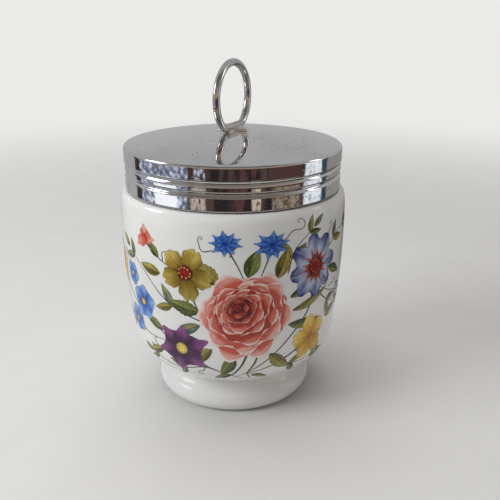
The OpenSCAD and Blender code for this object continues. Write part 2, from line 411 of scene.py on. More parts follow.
def porcelain_glaze():
    """White glaze: faint warm and cool drift, painted grey shade in the waist crease and on the ledge under
    the lid, pin specks, and a bare matt standing face."""
    finish = Finish("porcelain_glaze", IOR=1.5, Subsurface_Scale=0.002, Subsurface_Radius=(1.0, 0.85, 0.7))
    x, y, z = finish.place()
    drift = finish.noise(0.035, 3)
    fine = finish.noise(0.9, 2)
    radius = radius_of(x, y)
    # Painted shade: grey in the crease of the waist, and on the ledge and the foot of the neck under the
    # lid.
    in_waist = (z - WAIST_POOL_Z).math("ABSOLUTE").step(0.9, 0.0)
    waist_crease_shade = in_waist * radius.step(20.4, 19.0) * radius.step(17.5, 18.5)
    shade_under_lid = (z - SHOULDER_Z).math("ABSOLUTE").step(0.5, 0.0) * radius.step(27.6, 26.7)
    bare = z.step(0.16, 0.04)
    speck = finish.cells(0.16).step(0.022, 0.012)
    colour = finish.coats(
        finish.mix((0.81, 0.80, 0.785), (0.86, 0.845, 0.815), drift.step(0.35, 0.65)),
        # grey painted shade in the waist crease and under the lid
        ((0.55, 0.55, 0.54), waist_crease_shade * 0.38 + shade_under_lid * 0.3),
        ((0.42, 0.36, 0.28), speck * 0.45),
        ((0.66, 0.62, 0.55), bare * (0.6 + fine * 0.4)),
    )
    wear = finish.noise(0.25, 4)
    finish.set(Base_Color=colour, Roughness=0.075 + wear.step(0.45, 0.75) * 0.05 + bare * 0.55)
    return finish.bump(drift * 0.8 + finish.noise(0.16, 1) * 0.2, 0.12, 0.35).material


def printed_ink():
    """Colours fired onto the glaze: each petal's own ink, broken a little by the grain of the transfer."""
    finish = Finish("printed_ink", IOR=1.5)
    colour = finish.node("VertexColor", {"layer_name": "ink"}).outputs["Color"]
    grain = finish.noise(5.5, 2)
    cloud = finish.noise(0.8, 3)
    colour = finish.mix(colour, (0.84, 0.80, 0.76), grain.step(0.5, 0.78) * 0.10)
    strength = 0.93 + cloud.step(0.3, 0.7) * 0.12
    shade = finish.node("HueSaturation", Color=colour, Value=strength, Saturation=1.03)
    finish.set(Base_Color=shade.outputs[0], Roughness=0.12 + grain.step(0.4, 0.8) * 0.06)
    return finish.bump(grain, 0.004, 0.3).material


def bright_plate(name, polish, tone):
    """Chrome plate of a given roughness and tone: mirror with handling scratches, pin pits in clusters,
    faint smears, a little frost, and a ragged dull halo round the braze."""
    finish = Finish(name)
    x, y, z = finish.place()
    smear = finish.noise(0.06, 4, bend=1.5)
    film = finish.noise(0.4, 3)
    scratch = 0
    for turn, scale in ((0.4, 1.1), (1.5, 0.9), (2.5, 1.3), (-0.7, 1.0)):
        streak = finish.noise(scale, 2, stretch=(0.035, 1.6, 1.6), turn=(0.2 * turn, 0.15, turn))
        scratch = streak.step(0.66, 0.74) + scratch
    size = finish.noise(0.15, 1).step(0.38, 0.66) * 0.085 + 0.003
    pit = (finish.cells(0.2) / size).step(1.0, 0.6)
    cluster = finish.noise(0.075, 3, bend=0.5).step(0.45, 0.56)
    pit = pit.math("MAXIMUM", finish.cells(0.5).step(0.145, 0.095) * cluster)
    frost = finish.noise(3.0, 2).step(0.55, 0.70) * finish.noise(0.09, 3, bend=1.0).step(0.58, 0.66)
    smudge = finish.noise(0.22, 4, bend=2.0).step(0.56, 0.66)
    above, below = z.step(APEX_Z - 1.5, APEX_Z - 0.6), z.step(APEX_Z + 1.6, APEX_Z + 0.4)
    ragged = finish.noise(0.35, 3, bend=1.0).step(0.30, 0.66)
    stain = radius_of(x, y).step(9.5, 4.0) * above * below * ragged
    colour = finish.coats(
        finish.mix([0.93 * part for part in tone], tone, smear.step(0.3, 0.7)),
        ((0.58, 0.57, 0.56), smudge * 0.35),
        ((0.82, 0.82, 0.82), scratch * 0.25),
        ((0.10, 0.085, 0.075), pit * 0.75),
        ((0.70, 0.67, 0.63), stain * 0.6),
    )
    worn = scratch * 0.10 + pit * 0.4 + stain * 0.30 + frost * 0.22
    rough = polish + smear.step(0.45, 0.7) * 0.03 + film.step(0.5, 0.8) * 0.02 + worn
    finish.set(Base_Color=colour, Roughness=rough, Metallic=1.0 - stain * 0.25)
    wave = finish.noise(0.11, 2)
    return finish.bump(wave * 0.9 + scratch * -0.02 + pit * -0.1, 0.05, 0.36).material


def dull_tin():
    """Tinned sheet inside the lid: brushed round, with dull grey patches."""
    finish = Finish("dull_tin", Metallic=0.9)
    dull = finish.noise(0.18, 4)
    rub = finish.noise(1.5, 2, stretch=(1, 1, 9))
    colour = finish.mix((0.42, 0.40, 0.36), (0.60, 0.58, 0.54), dull.step(0.35, 0.65))
    colour = finish.mix(colour, (0.30, 0.26, 0.20), finish.noise(0.5, 4).step(0.62, 0.75) * 0.6)
    finish.set(Base_Color=colour, Roughness=0.32 + rub.step(0.3, 0.7) * 0.18)
    return finish.bump(rub, 0.02, 0.4).material


def old_rubber():
    """Washer: dark grey rubber with a dusty bloom and fine grain."""
    finish = Finish("old_rubber", IOR=1.5)
    bloom = finish.noise(0.35, 4)
    dusty = finish.mix((0.030, 0.029, 0.028), (0.11, 0.105, 0.10), bloom.step(0.4, 0.75))
    finish.set(Base_Color=dusty, Roughness=0.62 + bloom * 0.2)
    return finish.bump(finish.noise(4.0, 2), 0.03, 0.5).material


def plated_braze():
    """Braze under the foot: lumpy metal with a pale brownish film that dulls it in patches."""
    finish = Finish("plated_braze")
    lump = finish.noise(0.5, 2)
    pore = finish.noise(1.6, 3)
    film = finish.noise(0.6, 4, bend=0.8).step(0.38, 0.60)
    colour = finish.mix((0.68, 0.64, 0.60), (0.64, 0.565, 0.51), film)
    colour = finish.mix(colour, (0.30, 0.25, 0.21), pore.step(0.62, 0.72) * 0.5)
    rough = 0.24 + lump.step(0.4, 0.7) * 0.08 + film * 0.06
    finish.set(Base_Color=colour, Metallic=0.85 - film * 0.35, Roughness=rough)
    return finish.bump(lump + pore * 0.15, 0.08, 0.4).material


GLAZE = porcelain_glaze()
PRINT = printed_ink()
PLATE = bright_plate("bright_plate", 0.035, (0.76, 0.76, 0.765))
WIRE = bright_plate("bright_wire", 0.11, (0.66, 0.645, 0.63))
TIN = dull_tin()
RUBBER = old_rubber()
BRAZE = plated_braze()

# -------- the cup

SIDE_X = BELLY_R - SIDE_R
BEND_ANGLE = math.degrees(math.asin((BEND_TOP_Z - BELLY_Z) / SIDE_R))
BEND_X = SIDE_X + (SIDE_R - BEND_R) * math.cos(math.radians(BEND_ANGLE))
BEND_Z = BELLY_Z + (SIDE_R - BEND_R) * math.sin(math.radians(BEND_ANGLE))
WAIST_ANGLE = -math.degrees(math.acos((WAIST_R - BEND_X) / BEND_R))
WAIST_Z = BEND_Z + BEND_R * math.sin(math.radians(WAIST_ANGLE))
FLOOR_Z = BEND_Z - BEND_R + BOWL_WALL


def side_radius(z, inset=0.0):
    """Radius of the bowl's side at height z: the side's long arc, drawn in by inset."""
    return SIDE_X + np.sqrt((SIDE_R - inset) ** 2 - (np.asarray(z) - BELLY_Z) ** 2)


def bowl_outside():
    """The bowl from its waist up to the ledge: the bend's arc, the side's arc and a quarter ellipse."""
    round_z = SHOULDER_Z - SHOULDER_ROUND[1]
    side_z = np.linspace(BEND_TOP_Z, round_z, 90)[1:]
    t = np.radians(np.linspace(0, 90, 15))[1:]
    ledge_r = side_radius(round_z) - SHOULDER_ROUND[0] * (1 - np.cos(t))
    return np.concatenate([
        arc((BEND_X, BEND_Z), BEND_R, WAIST_ANGLE, BEND_ANGLE, 48),
        coords(side_radius(side_z), side_z),
        coords(ledge_r, round_z + SHOULDER_ROUND[1] * np.sin(t)),
    ])


def foot_outside():
    """The foot from its standing face up to the waist: a bulge, then a hollow arc that touches it."""
    bulge_x = FOOT_R - BULGE_R
    dx, dz = WAIST_R - bulge_x, WAIST_Z - BULGE_R
    hollow_r = (dx * dx + dz * dz - BULGE_R ** 2) / (2 * (BULGE_R - dx))
    touch = math.degrees(math.atan2(dz, dx + hollow_r))
    return np.concatenate([
        line((bulge_x - FOOT_LAND, 0), (bulge_x, 0), 5),
        arc((bulge_x, BULGE_R), BULGE_R, -90, touch, 30)[1:],
        arc((WAIST_R + hollow_r, WAIST_Z), hollow_r, 180 + touch, 180, 16)[1:],
    ])


def cup_profile():
    """Closed outline of the cup, from the middle of the underside round the outside and down the well."""
    under_z = FLOOR_Z - FLOOR_T
    foot_bore = FOOT_R - BULGE_R - FOOT_LAND
    ledge_r = side_radius(SHOULDER_Z - SHOULDER_ROUND[1]) - SHOULDER_ROUND[0]
    t = np.linspace(0, 1, 24)
    throat_z = SHOULDER_Z + RIM_ROUND - THROAT_H * t
    widening = (side_radius(throat_z, BOWL_WALL) - NECK_BORE_R) * (1 - np.cos(np.pi * t)) / 2
    throat = coords(NECK_BORE_R + widening, throat_z)
    well_z = np.linspace(throat_z[-1], BEND_TOP_Z, 34)[1:]
    fillet = (foot_bore - FOOT_SLOPE - FOOT_FILLET, under_z - FOOT_FILLET)
    outside = np.concatenate([
        line((0, under_z), (fillet[0], under_z), 8),
        arc(fillet, FOOT_FILLET, 90, 0, 8)[1:],
        line((fillet[0] + FOOT_FILLET, fillet[1]), (foot_bore, 0), 12)[1:-1],
        foot_outside(),
        bowl_outside()[1:],
        line((ledge_r, SHOULDER_Z), (NECK_R, SHOULDER_Z), 10)[1:],
        line((NECK_R, SHOULDER_Z), (NECK_R, RIM_Z - RIM_ROUND), 42)[1:],
        arc((NECK_R - RIM_ROUND, RIM_Z - RIM_ROUND), RIM_ROUND, 0, 90, 8)[1:],
    ])
    inside = np.concatenate([
        arc((NECK_BORE_R + RIM_ROUND, RIM_Z - RIM_ROUND), RIM_ROUND, 90, 180, 8),
        line((NECK_BORE_R, RIM_Z - RIM_ROUND), throat[0], 10)[1:-1],
        throat,
        coords(side_radius(well_z, BOWL_WALL), well_z),
        arc((BEND_X, BEND_Z), BEND_R - BOWL_WALL, BEND_ANGLE, -90, 22)[1:],
        line((BEND_X, FLOOR_Z), (0, FLOOR_Z), 10)[1:],
    ])
    return soften(np.concatenate([outside, inside]), 3)


def thread_share(angle, z, start, width):
    """Height of a thread from 0 to 1: across it, a flat crest with eased flanks round the helix z =
    THREAD_Z + pitch * turns; along it, eased to nothing at both ends."""
    share = 0
    for winding in (0, 1):
        turns = ((angle - start) % 360) / 360 + winding
        middle = THREAD_Z + THREAD_PITCH * turns
        length = smooth(0, THREAD_EASE, np.minimum(turns, THREAD_TURNS - turns))
        across = 1 - smooth(*THREAD_FLANK, np.abs(z - middle) / (width / 2))
        share = np.maximum(share, length * across)
    return share


def neck_bulge(angle, r, z):
    """The thread stands out only on the outside of the neck, above the ledge."""
    outside = smooth(NECK_R - 0.3, NECK_R - 0.05, r) * (z > SHOULDER_Z + 0.1) * (r < NECK_R + 0.2)
    return outside * THREAD_H * thread_share(angle, z, THREAD_START, THREAD_W)


cup = lathe("glazed_cup", cup_profile(), "cup", "porcelain", GLAZE, steps=200, bulge=neck_bulge)
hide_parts("porcelain_cup")

# -------- the lid

LID_RIM_Z = APEX_Z - DOME_RISE
DOME_R = (LID_R ** 2 + DOME_RISE ** 2) / (2 * DOME_RISE)
DOME_Z = APEX_Z - DOME_R
EDGE_X = LID_R - LID_EDGE_R
EDGE_ANGLE = math.degrees(math.acos(EDGE_X / (DOME_R - LID_EDGE_R)))
EDGE_Z = DOME_Z + (DOME_R - LID_EDGE_R) * math.sin(math.radians(EDGE_ANGLE))


def skirt_radius(z):
    """Radius of the skirt at height z: two bands, less a sharp groove, 1 - sin, and a round groove, a
    raised cosine."""
    u = (z - (LID_RIM_Z - SHARP_GROOVE[0])) / SHARP_GROOVE[1]
    v = (z - (LID_RIM_Z - ROUND_GROOVE[0])) / ROUND_GROOVE[1]
    sharp = np.where(np.abs(u) < 1, 1 - np.sin(np.pi / 2 * np.abs(u)), 0)
    rolled = np.where(np.abs(v) < 1, (1 + np.cos(np.pi * v)) / 2, 0)
    step = (1 - np.cos(np.pi * np.clip((1 - u) / 2, 0, 1))) / 2
    return LID_R - BAND_STEP * step - GROOVE_DEPTH * (sharp + rolled)


def cap_outline(inset):
    """The lid's sheet from its apex over the rim and down the skirt, drawn in by inset."""
    z = np.linspace(EDGE_Z, SKIRT_Z + CAP_WALL / 2, 90)[1:]
    return np.concatenate([
        arc((0, DOME_Z), DOME_R - inset, 90, EDGE_ANGLE, 40),
        arc((EDGE_X, EDGE_Z), LID_EDGE_R - inset, EDGE_ANGLE, 0, 10)[1:],
        coords(skirt_radius(z) - inset, z),
    ])


lower_r = LID_R - BAND_STEP - CAP_WALL / 2
cap_profile = np.concatenate([
    cap_outline(0),
    arc((lower_r, SKIRT_Z + CAP_WALL / 2), CAP_WALL / 2, 0, -180, 8)[1:-1],
    cap_outline(CAP_WALL)[::-1],
])[::-1]
cap = lathe("plated_cap", cap_profile, "lid", "chrome", PLATE, steps=220)
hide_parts("lid_cap")

liner_bore_r = LINER_R - LINER_WALL
flange_z = LINER_TOP_Z - LINER_WALL
flange_r = LINER_R - FLANGE_W
liner_profile = ruled(
    [(liner_bore_r, LINER_Z), (LINER_R, LINER_Z), (LINER_R, LINER_TOP_Z), (flange_r, LINER_TOP_Z),
     (flange_r, flange_z), (liner_bore_r, flange_z)], (4, 40, 20, 4, 20, 44))


def liner_bulge(angle, r, z):
    """The liner's thread stands inwards from its bore, half a turn from the neck's."""
    bore = (r < liner_bore_r + 0.05) * (r > liner_bore_r - 0.3) * (z < flange_z - 0.3)
    height = NECK_R + THREAD_GAP - liner_bore_r
    return bore * height * thread_share(angle, z, THREAD_START + 180, LINER_THREAD_W)


liner = lathe("tin_liner", liner_profile, "lid", "tinned_steel", TIN, steps=160, bulge=liner_bulge)
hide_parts("threaded_liner")

washer_bore_r = WASHER_R - WASHER_W
washer_profile = ruled(
    [(washer_bore_r, WASHER_Z), (WASHER_R, WASHER_Z),
     (WASHER_R, WASHER_TOP_Z), (washer_bore_r, WASHER_TOP_Z)], (16, 6, 16, 6))
washer = lathe("rubber_washer", washer_profile, "seal", "rubber", RUBBER, steps=128)
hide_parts("sealing_washer")

# -------- the ring

RING_MID_Z = RING_TOP_Z - WIRE_R - RING_R
FOOT_GAP = 0.25
FOOT_WIRE_Z = APEX_Z + FOOT_GAP + WIRE_R
ring_c = RING_MID_Z - FOOT_WIRE_Z
bend_x = math.sqrt((RING_R - RING_BEND_R) ** 2 - (ring_c - RING_BEND_R) ** 2)
bend_angle = math.degrees(math.atan2(RING_BEND_R - ring_c, bend_x))


def bow(centre, radius, start, end, steps):
    """Arc of the ring's middle line, with its angle in degrees as the direction of the ring's outside."""
    points = arc(centre, radius, start, end, steps)
    return np.concatenate([points, np.linspace(start, end, steps + 1)[:, None]], axis=1)[:-1]


def ring_route():
    """Middle line of the wire in the ring's plane, with the direction of the ring's outside at each
    point."""
    foot = line((-bend_x, 0, 270), (bend_x, 0, 270), 16)[:-1]
    return np.concatenate([
        bow((0, ring_c), RING_R, bend_angle, 180 - bend_angle, 110),
        bow((-bend_x, RING_BEND_R), RING_BEND_R, 180 - bend_angle, 270, 14),
        foot,
        bow((bend_x, RING_BEND_R), RING_BEND_R, 270, 360 + bend_angle, 14),
    ])


def in_ring_plane(across, up):
    """A point of the ring's plane: across along the turned plane, up from the foot wire's middle."""
    return coords(across * math.cos(RING_TURN), across * math.sin(RING_TURN), up)


route = ring_route()
outward = in_ring_plane(np.cos(np.radians(route[:, 2])), np.sin(np.radians(route[:, 2])))
middle = in_ring_plane(route[:, 0], FOOT_WIRE_Z + route[:, 1])
ring = tube("wire_ring", middle, outward, WIRE_R, "lid", "chrome", WIRE)
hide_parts("lifting_ring")

# -------- the braze

BRAZE_R = math.hypot(bend_x, WIRE_R)
BRAZE_HALF_W = 1.75
BRAZE_FLANK = 0.8
BRAZE_TOP = 0.75
BRAZE_EDGE = 0.10
BRAZE_SUNK = 0.02
TAB_HALF = (4.2, 1.65)  # left to right, front to back
TAB_T = 0.9
TAB_ROLL = 0.22
CLIMB_H = 1.35
CLIMB_AT = 3.1
CLIMB_SPREAD = (1.35, 1.2)  # along and across the wire


def joined(a, b, power):
    """The root of the sum of two powers: the larger of a and b, or the smaller where the power is negative,
    with an eased change from one to the other."""
    return (a ** power + b ** power) ** (1 / power)


def braze_surface(rows=44, columns=192):
    """Braze under the ring's foot: a pad along the wire and a tab across the lid, in one surface over a
    polar grid.

    The pad's outline is a circle and two flats, blended and a little uneven, and its height falls from the
    wire's flank to a thin edge as 1 - sin of the way out. The tab's outline is a rounded oblong, where (x /
    half length)^4 + (y / half width)^4 = 1, and its edge is rolled as a quarter ellipse. Where both lie,
    their heights are joined. Braze climbs the far leg as a bell curve. The floor follows the dome."""
    share = np.linspace(0, 1, rows)[:, None]
    turn = np.arange(columns)[None, :] * 2 * np.pi / columns
    bearing = turn + RING_TURN
    flat_r = BRAZE_HALF_W / np.maximum(np.abs(np.sin(turn)), 1e-6)
    uneven = 1 + 0.02 * np.sin(3 * turn + 0.6) + 0.015 * np.sin(7 * turn)
    pad_r = joined(BRAZE_R, flat_r, -6) * uneven
    tab_r = joined(np.abs(np.cos(bearing) / TAB_HALF[0]), np.abs(np.sin(bearing) / TAB_HALF[1]), 4) ** -1
    out_r = joined(pad_r, tab_r, 10) * share
    along, aside = out_r * np.cos(turn), out_r * np.sin(turn)
    x, y = out_r * np.cos(bearing), out_r * np.sin(bearing)
    falling = np.clip((np.abs(aside) - BRAZE_FLANK) / (BRAZE_HALF_W - BRAZE_FLANK), 0, 1)
    lump = 0.05 * np.sin(2.3 * along + 1.0) * np.sin(2.9 * aside)
    mound = (BRAZE_TOP - BRAZE_EDGE) * (1 - np.sin(np.pi / 2 * falling)) + lump
    pad = BRAZE_EDGE + mound * (1 - smooth(0.9, 1.0, out_r / pad_r))
    rolled = np.clip((out_r / tab_r - 1 + TAB_ROLL) / TAB_ROLL, 0, 1)
    tab = TAB_T * np.sqrt(1 - rolled ** 2) + 0.4 * lump * (1 - rolled)
    bell = np.exp(-((along - CLIMB_AT) / CLIMB_SPREAD[0]) ** 2 - (aside / CLIMB_SPREAD[1]) ** 2)
    height = joined(np.maximum(pad, BRAZE_SUNK), np.maximum(tab, 0.0), 4)
    height = height + CLIMB_H * bell * (1 - smooth(0.85, 1.0, share))
    rim = smooth(0.97, 1.0, share)
    height = height * (1 - rim) + BRAZE_EDGE * rim
    dome = DOME_Z + np.sqrt(DOME_R ** 2 - x * x - y * y)
    upper = coords(x, y, dome + height)
    lower = coords(x, y, dome - BRAZE_SUNK)[::-1]
    return np.concatenate([upper, lower])


braze = round_solid("braze_mound", braze_surface(), "lid", "braze", BRAZE, flip=True)
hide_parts("ring_braze")

# -------- the print: a surface on the bowl

BOWL = spread(bowl_outside(), 0.25)
BOWL_UP = np.concatenate([[0], np.cumsum(np.linalg.norm(np.diff(BOWL, axis=0), axis=1))])
BOWL_TAN = np.gradient(BOWL, axis=0) / np.linalg.norm(np.gradient(BOWL, axis=0), axis=1, keepdims=True)
PRINT_LIFT = 0.02
LAYER_LIFT = 0.006
PRINT_R = 31.0
PRINT_BASE = 2.5
PRINT_T = 0.08
OUTLINE_W = 0.17
INK_RANGE = (0.002, 0.85)
LIP_INK = ink(252, 232, 222)
PATCH_GAP = 0.04


def on_bowl(flat, layer):
    """Lays flat points on the bowl: s goes round at s / PRINT_R radians from the front, h goes up the
    bowl's own outline from PRINT_BASE over the waist, and each layer of ink stands a few thousandths of a
    millimetre out."""
    s, h = flat[..., 0], flat[..., 1] + PRINT_BASE
    r, z, tr, tz = (np.interp(h, BOWL_UP, column) for column in (*BOWL.T, *BOWL_TAN.T))
    lift = PRINT_LIFT + LAYER_LIFT * layer
    r, z, a = r + lift * tz, z - lift * tr, s / PRINT_R
    return coords(r * np.sin(a), -r * np.cos(a), z)


class Sheet:
    """One piece of print: patches of ink, each a grid of flat points with a colour at each point."""

    def __init__(self):
        self.patches = []

    def add(self, flat, colour, layer):
        """Takes a patch to lie on one of the sheet's layers, which may be a fraction."""
        self.patches.append((flat, np.clip(colour, *INK_RANGE), layer))

    def fire(self, name):
        """Makes one mesh of all patches, as thin as a transfer, on the cup."""
        points, faces, uvs, colours, count = [], [], [], [], 0
        side = math.ceil(math.sqrt(len(self.patches)))
        for k, (flat, colour, layer) in enumerate(self.patches):
            grid = flat.shape[:2]
            low = np.array([k % side, k // side]) / side + PATCH_GAP / side
            points.append(on_bowl(flat, layer).reshape(-1, 3))
            faces.append(grid_faces(*grid) + count)
            uvs.append(grid_uv(*grid, low=low, high=low + (1 - 2 * PATCH_GAP) / side))
            colours.append(colour.reshape(-1, 3))
            count += len(points[-1])
        points, faces, uvs, colours = map(np.concatenate, (points, faces, uvs, colours))
        piece = solid(name, points, faces, uvs, "cup", "porcelain", PRINT, colours)
        skin = piece.modifiers.new("thin", "SOLIDIFY")
        skin.thickness = PRINT_T * MM
        skin.offset = -1


def turned(points, degrees):
    """Flat points turned about the origin."""
    c, s = math.cos(math.radians(degrees)), math.sin(math.radians(degrees))
    return coords(points[..., 0] * c - points[..., 1] * s, points[..., 0] * s + points[..., 1] * c)


def tilted(points, lean, squash):
    """A flat flower seen at a slant: squashed along the direction lean."""
    points = turned(points, -lean)
    points = points * np.array([squash, 1.0])
    return turned(points, lean)


def streaks(u, v, rng, across=11, along=4):
    """Brush streaks: random numbers on a coarse net, joined smoothly, much finer across than along."""
    net = rng.normal(size=(along, across))
    x = (v + 1) / 2 * (across - 1)
    y = u * (along - 1)
    i, j = np.clip(y.astype(int), 0, along - 2), np.clip(x.astype(int), 0, across - 2)
    fy, fx = smooth(0, 1, y - i), smooth(0, 1, x - j)
    return ((net[i, j] * (1 - fx) + net[i, j + 1] * fx) * (1 - fy)
            + (net[i + 1, j] * (1 - fx) + net[i + 1, j + 1] * fx) * fy)


def patch(rows, columns):
    """Parameters of a patch of ink: t from 0 to 1 down its rows and q from -1 to 1 along its columns."""
    return np.meshgrid(np.linspace(0, 1, rows), np.linspace(-1, 1, columns), indexing="ij")


def petal(length, width, tones, seed, tip=0.3, base=0.25, full=0.7, close=0.5, notch=0.0, ruffle=0.0,
          shade=0.3, veins=7, lip=0.0, hidden=0.0, cast=0.0, ribs=0.3, rows=22, columns=19):
    """One petal along +x from the origin. Along it goes length * u * (1 - tip * v^2 * u^2), less a notch
    and with a ruffle at its end. Its half width grows as base + (1 - base) * sin(pi / 2 * u / full), then
    closes by a share. Deep where it comes out from under the next petal, light at the tip, with a darker
    side, fine veins and a thin outline. A lip is a pale rolled edge with a dark line behind it, and cast
    darkens the whole petal."""
    t, q = patch(rows, columns)
    u = t + 0.12 * np.sin(np.pi * t) * t
    u = u / u.max()
    v = q + 0.18 * np.sin(np.pi * q)
    grow = base + (1 - base) * np.sin(np.pi / 2 * np.clip(u / full, 0, 1))
    half = width / 2 * (grow * (1 - close * smooth(full, 1.0, u)))
    wave = ruffle * u ** 3 * (np.sin(4.2 * v + seed) + 0.5 * np.sin(9.1 * v + 2.3 * seed))
    out = length * u * (1 - tip * v * v * u * u - notch * np.exp(-(v / 0.22) ** 2) * u ** 4 + wave)
    deep, mid, light, outline = tones
    seen = (u - hidden) / (1 - hidden)
    flow = seen + 0.09 * streaks(u, v, np.random.default_rng(seed)) + 0.05 * v * (1 if seed % 2 else -1)
    dark_side = smooth(-0.1, 1.0, v * (1 if seed % 3 else -1))
    lines = np.clip(np.cos(np.pi * veins * v), 0, 1) ** 6 * smooth(0.0, 0.3, u) * (1 - smooth(0.75, 1.0, u))
    glow = np.exp(-((seen - 0.66) / 0.2) ** 2 - ((v - 0.2) / 0.36) ** 2)
    colour = painted(
        deep, (mid, smooth(0.05, 0.45, flow)), (light, smooth(0.5, 1.02, flow)),
        (deep, shade * dark_side * (1 - 0.4 * u)), (outline, ribs * lines), (light, 0.6 * glow),
        (deep, cast))
    edge = np.minimum((1 - np.abs(v)) * half, out[-1:, :] - out)
    outlined = 0.3 if lip > 0 else 0.8
    if lip > 0:
        band = edge / (0.085 * width)
        lip = lip * smooth(0.1, 0.4, seen)
        colour = painted(colour, (deep, 0.5 * lip * (1 - smooth(0.10, 0.55, np.abs(band - 1.05)))),
                         (LIP_INK, lip * (1 - cast) * (1 - smooth(0.35, 0.95, band))))
    colour = blend(colour, outline, outlined * (1 - smooth(0.0, OUTLINE_W, edge)))
    return coords(out, -v * half), colour


def leaf(length, width, tones, seed, bend=0.0, serrate=0.0, teeth=7, rows=34, columns=21):
    """One leaf along +x: half width sin(pi * u^0.8), a dark rib down the middle, side veins that slant to
    the tip, one half darker than the other, and small teeth where it has them."""
    u, q = patch(rows, columns)
    v = q - 0.11 * np.sin(2 * np.pi * q)
    off = np.abs(v)
    grow = np.maximum(np.sin(np.pi * u ** 0.8), 0.03) ** 0.95
    saw = 1 + serrate * (((u * teeth) % 1.0) - 0.5) * smooth(0.1, 0.2, u) * (1 - smooth(0.85, 1.0, u))
    half = width / 2 * grow * np.where(off > 0.8, saw, 1)
    angle = np.radians(bend) * u
    x = length * u * np.cos(angle / 2) + v * half * np.sin(angle)
    y = length * u * np.sin(angle / 2) - v * half * np.cos(angle)
    deep, mid, light, outline = tones
    flow = 0.5 + 0.28 * streaks(u, v, np.random.default_rng(seed), 9, 5) + 0.5 * (u - 0.5)
    veins = np.clip(np.cos(2 * np.pi * (u * 6.5 - off * 1.15)), 0, 1) ** 8
    rib = np.exp(-(v * half / 0.11) ** 2) * (1 - smooth(0.85, 1.0, u))
    return coords(x, y), painted(
        deep, (mid, smooth(0.1, 0.6, flow)), (light, smooth(0.55, 1.1, flow)),
        (light, 0.6 * (v > 0) * (1 - off * 0.6)), (deep, 0.5 * (v < 0) * smooth(0.1, 1.0, off)),
        (outline, 0.5 * veins * smooth(0.03, 0.15, off) * (1 - smooth(0.7, 1, off))),
        (outline, 0.75 * rib), (outline, 0.85 * (1 - smooth(0.0, OUTLINE_W, (1 - off) * half))))


def disc(radius, cells, colour_of):
    """A round spot: the square a, b in -1..1 goes to (a sqrt(1 - b^2 / 2), b sqrt(1 - a^2 / 2))."""
    side = np.linspace(-1, 1, cells + 1)
    a, b = np.meshgrid(side, side)
    x, y = a * np.sqrt(1 - b * b / 2), b * np.sqrt(1 - a * a / 2)
    return radius * coords(x, y), colour_of(np.hypot(x, y), np.arctan2(y, x))


def curve(points, steps=16):
    """Smooth route through points: between two of them, the cubic that leaves and arrives along their
    neighbours."""
    p = np.asarray(points, float)
    p = np.concatenate([[2 * p[0] - p[1]], p, [2 * p[-1] - p[-2]]])
    t = np.linspace(0, 1, steps, endpoint=False)[None, :, None]
    a, b, c, d = (p[k:len(p) - 3 + k][:, None, :] for k in range(4))
    body = 0.5 * (2 * b + (c - a) * t
                  + (2 * a - 5 * b + 4 * c - d) * t ** 2 + (3 * b - a - 3 * c + d) * t ** 3)
    return np.concatenate([body.reshape(-1, 2), p[-2:-1]])


def strand(route, width, tones, taper=0.35):
    """A stem or tendril: a ribbon along a smooth route, thinner to its end, darker along one side."""
    route = spread(route, 0.3)
    ahead = np.gradient(route, axis=0)
    ahead /= np.linalg.norm(ahead, axis=1, keepdims=True)
    side = coords(ahead[:, 1], -ahead[:, 0])
    u, v = np.meshgrid(np.linspace(0, 1, len(route)), [-1, -0.5, 0.3, 1], indexing="ij")
    half = width / 2 * (1 - (1 - taper) * u) * (1 - 0.85 * smooth(0.93, 1.0, u))
    flat = route[:, None, :] + side[:, None, :] * (half * v)[..., None]
    deep, mid, light, outline = tones
    return flat, painted(mid, (deep, smooth(-0.6, 1.0, v)), (light, np.exp(-((v + 0.4) / 0.3) ** 2) * 0.5),
                         (outline, 0.3 * (0.5 + 0.5 * np.sin(u * 31))))


def tendril(start, aim, length, turns, waves=2.0, steps=70):
    """Route of a tendril that leaves start along aim in small waves and winds up at its end: its direction
    is aim + 50 sin(360 waves t) (1 - t) + 360 turns t^3 degrees, and its steps shorten."""
    t = np.linspace(0, 1, steps)
    heading = np.radians(aim + 50 * np.sin(2 * np.pi * waves * t) * (1 - t) + 360 * turns * t ** 3)
    move = length / steps * (1 - 0.6 * t * t)
    path = np.cumsum(coords(np.cos(heading) * move, np.sin(heading) * move), axis=0)
    return np.concatenate([[start], np.asarray(start) + path])


# Tones run from deep through middle and light to the outline.
CORAL = (ink(172, 58, 46), ink(218, 112, 88), ink(242, 182, 164), ink(120, 40, 36))
CORAL_DEEP = (ink(92, 20, 20), ink(168, 58, 46), ink(222, 120, 94), ink(82, 20, 20))
CORAL_PALE = (ink(204, 92, 78), ink(238, 170, 156), ink(255, 236, 228), ink(150, 64, 58))
BLUE = (ink(38, 62, 150), ink(76, 120, 200), ink(150, 186, 232), ink(30, 44, 108))
CORNFLOWER = (ink(20, 44, 130), ink(52, 104, 200), ink(116, 164, 228), ink(24, 38, 100))
BLUE_RIMMED = (ink(120, 120, 170), ink(196, 206, 228), ink(48, 62, 128), ink(28, 30, 76))
PURPLE = (ink(40, 10, 44), ink(74, 24, 76), ink(150, 88, 146), ink(30, 8, 34))
OCHRE = (ink(92, 66, 22), ink(158, 130, 48), ink(212, 190, 104), ink(76, 58, 24))
YELLOW = (ink(176, 112, 20), ink(226, 178, 54), ink(246, 222, 128), ink(140, 92, 28))
GREEN = (ink(44, 56, 28), ink(88, 100, 48), ink(160, 166, 92), ink(38, 46, 24))
OLIVE = (ink(70, 62, 26), ink(130, 120, 52), ink(196, 184, 96), ink(58, 52, 24))
BLUE_GREEN = (ink(42, 58, 74), ink(92, 112, 104), ink(190, 184, 96), ink(40, 46, 52))
STEM = (ink(60, 54, 30), ink(96, 90, 50), ink(150, 144, 90), ink(60, 42, 28))
